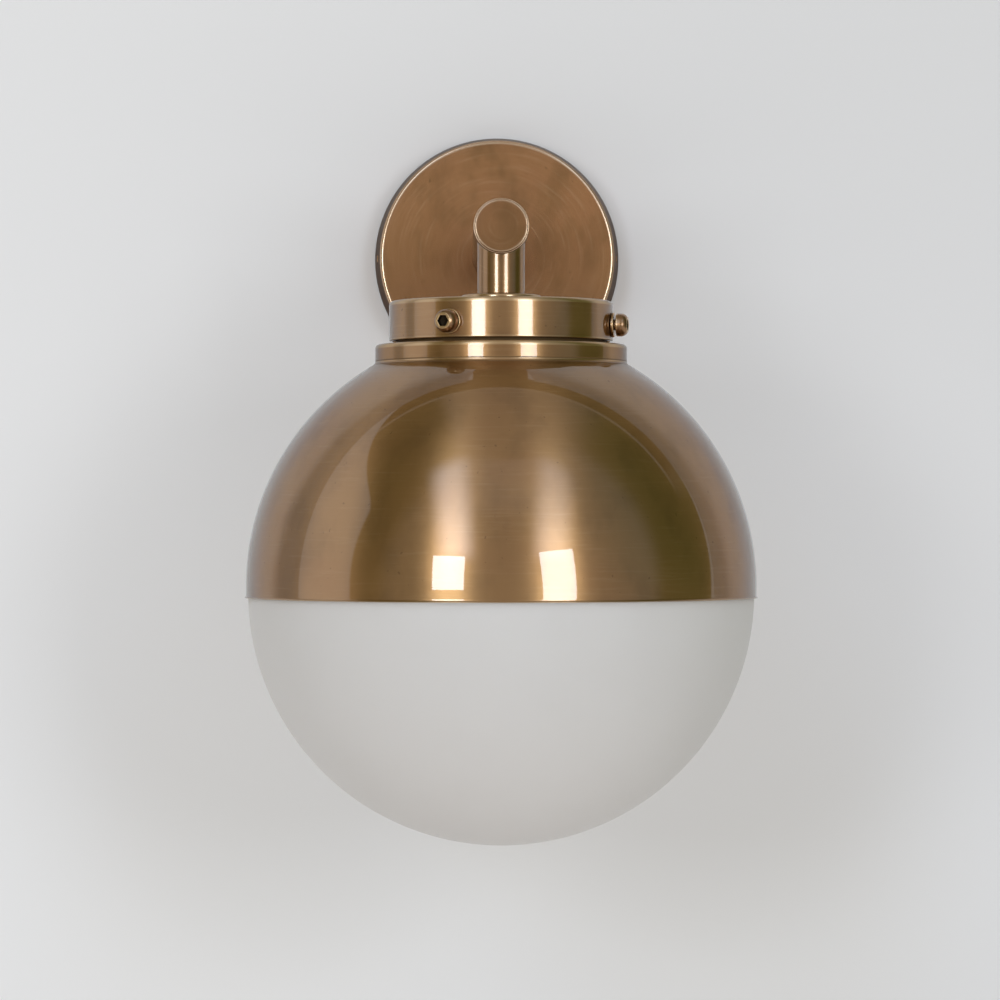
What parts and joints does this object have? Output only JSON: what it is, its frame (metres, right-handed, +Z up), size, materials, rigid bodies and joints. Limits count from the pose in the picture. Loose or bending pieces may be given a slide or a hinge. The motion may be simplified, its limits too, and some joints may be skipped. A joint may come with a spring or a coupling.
{
  "type": "wall light",
  "caption": "Outdoor wall light: round backplate, horizontal arm, short stem, clamping gallery, brass half-dome shade and opal glass globe.",
  "frame": {"origin": "on the wall plane, midway between the two wall slots, on the arm's axis", "axes": "+Y into the wall, along the slots' axes; +X to the right as seen from the room; +Z up"},
  "size_m": [0.206, 0.314, 0.3025],
  "materials": {
    "aged_brass": "horizontally brushed and lacquered, aged brown",
    "screw_brass": "turned, darkened",
    "plain_brass": "plain turned",
    "opal_glass": "satin opal, opaque white",
    "frosted_glass": "frosted",
    "nickel": "nickel plated",
    "zinc_steel": "zinc plated",
    "black_rubber": "matt",
    "clear_silicone": "satin, milky",
    "white_holder": "heat-resistant, satin",
    "ivory_plastic": "moulded, satin",
    "brown_wire": "insulation",
    "blue_wire": "insulation",
    "green_wire": "insulation, green and yellow"
  },
  "bodies": {
    "fixture": {"mounting_bracket": "zinc_steel", "wall_gasket": "black_rubber", "backplate": "aged_brass", "plate_screws": "screw_brass", "arm_tube": "aged_brass", "arm_end_cap": "aged_brass", "arm_bush": "plain_brass", "arm_nipple": "plain_brass", "arm_washer": "zinc_steel", "arm_locknut": "plain_brass", "stem_tube": "aged_brass", "stem_collar": "aged_brass", "stem_bush": "plain_brass", "stem_nipple": "plain_brass", "stem_locknut": "plain_brass", "gallery": "aged_brass", "gallery_gasket": "black_rubber", "lampholder_cap": "white_holder", "lampholder_body": "white_holder", "contact_shell": "plain_brass", "centre_contact": "plain_brass", "holder_terminals": "plain_brass", "terminal_block": "ivory_plastic", "terminal_screws": "plain_brass", "earth_screw": "plain_brass", "earth_washer": "zinc_steel", "earth_lug": "plain_brass", "live_wire": "brown_wire", "neutral_wire": "blue_wire", "earth_wire": "green_wire"},
    "shade": {"globe": "opal_glass", "globe_belly": "opal_glass", "globe_crown": "opal_glass", "globe_neck": "opal_glass", "dome_shade": "aged_brass", "shade_ring": "clear_silicone"},
    "lamp": {"lamp_envelope": "frosted_glass", "lamp_cap": "nickel", "lamp_contact": "black_rubber"},
    "clamp_screw_1": {"clamp_screw_1": "screw_brass"},
    "lock_nut_1": {"lock_nut_1": "screw_brass"},
    "clamp_screw_2": {"clamp_screw_2": "screw_brass"},
    "lock_nut_2": {"lock_nut_2": "screw_brass"},
    "clamp_screw_3": {"clamp_screw_3": "screw_brass"},
    "lock_nut_3": {"lock_nut_3": "screw_brass"}
  },
  "joints": [
    {"name": "shade_lower", "type": "slide", "parent": "fixture", "child": "shade", "axis": [0, 0, -1], "range_m": [0, 0.15]},
    {"name": "lamp_lower", "type": "slide", "parent": "fixture", "child": "lamp", "axis": [0, 0, -1], "range_m": [0, 0.028]},
    {"name": "clamp_screw_1_back_off", "type": "slide", "parent": "fixture", "child": "clamp_screw_1", "axis": [-0.454, -0.891, 0], "range_m": [0, 0.004]},
    {"name": "lock_nut_1_turn", "type": "hinge", "parent": "clamp_screw_1", "child": "lock_nut_1", "pos_m": [-0.02066, -0.25154, -0.0393], "axis": [-0.454, -0.891, 0], "continuous": true},
    {"name": "clamp_screw_2_back_off", "type": "slide", "parent": "fixture", "child": "clamp_screw_2", "axis": [0.9848, -0.1736, 0], "range_m": [0, 0.004]},
    {"name": "lock_nut_2_turn", "type": "hinge", "parent": "clamp_screw_2", "child": "lock_nut_2", "pos_m": [0.04481, -0.2189, -0.0393], "axis": [0.9848, -0.1736, 0], "continuous": true},
    {"name": "clamp_screw_3_back_off", "type": "slide", "parent": "fixture", "child": "clamp_screw_3", "axis": [-0.454, 0.891, 0], "range_m": [0, 0.004]},
    {"name": "lock_nut_3_turn", "type": "hinge", "parent": "clamp_screw_3", "child": "lock_nut_3", "pos_m": [-0.02066, -0.17046, -0.0393], "axis": [-0.454, 0.891, 0], "continuous": true}
  ]
}
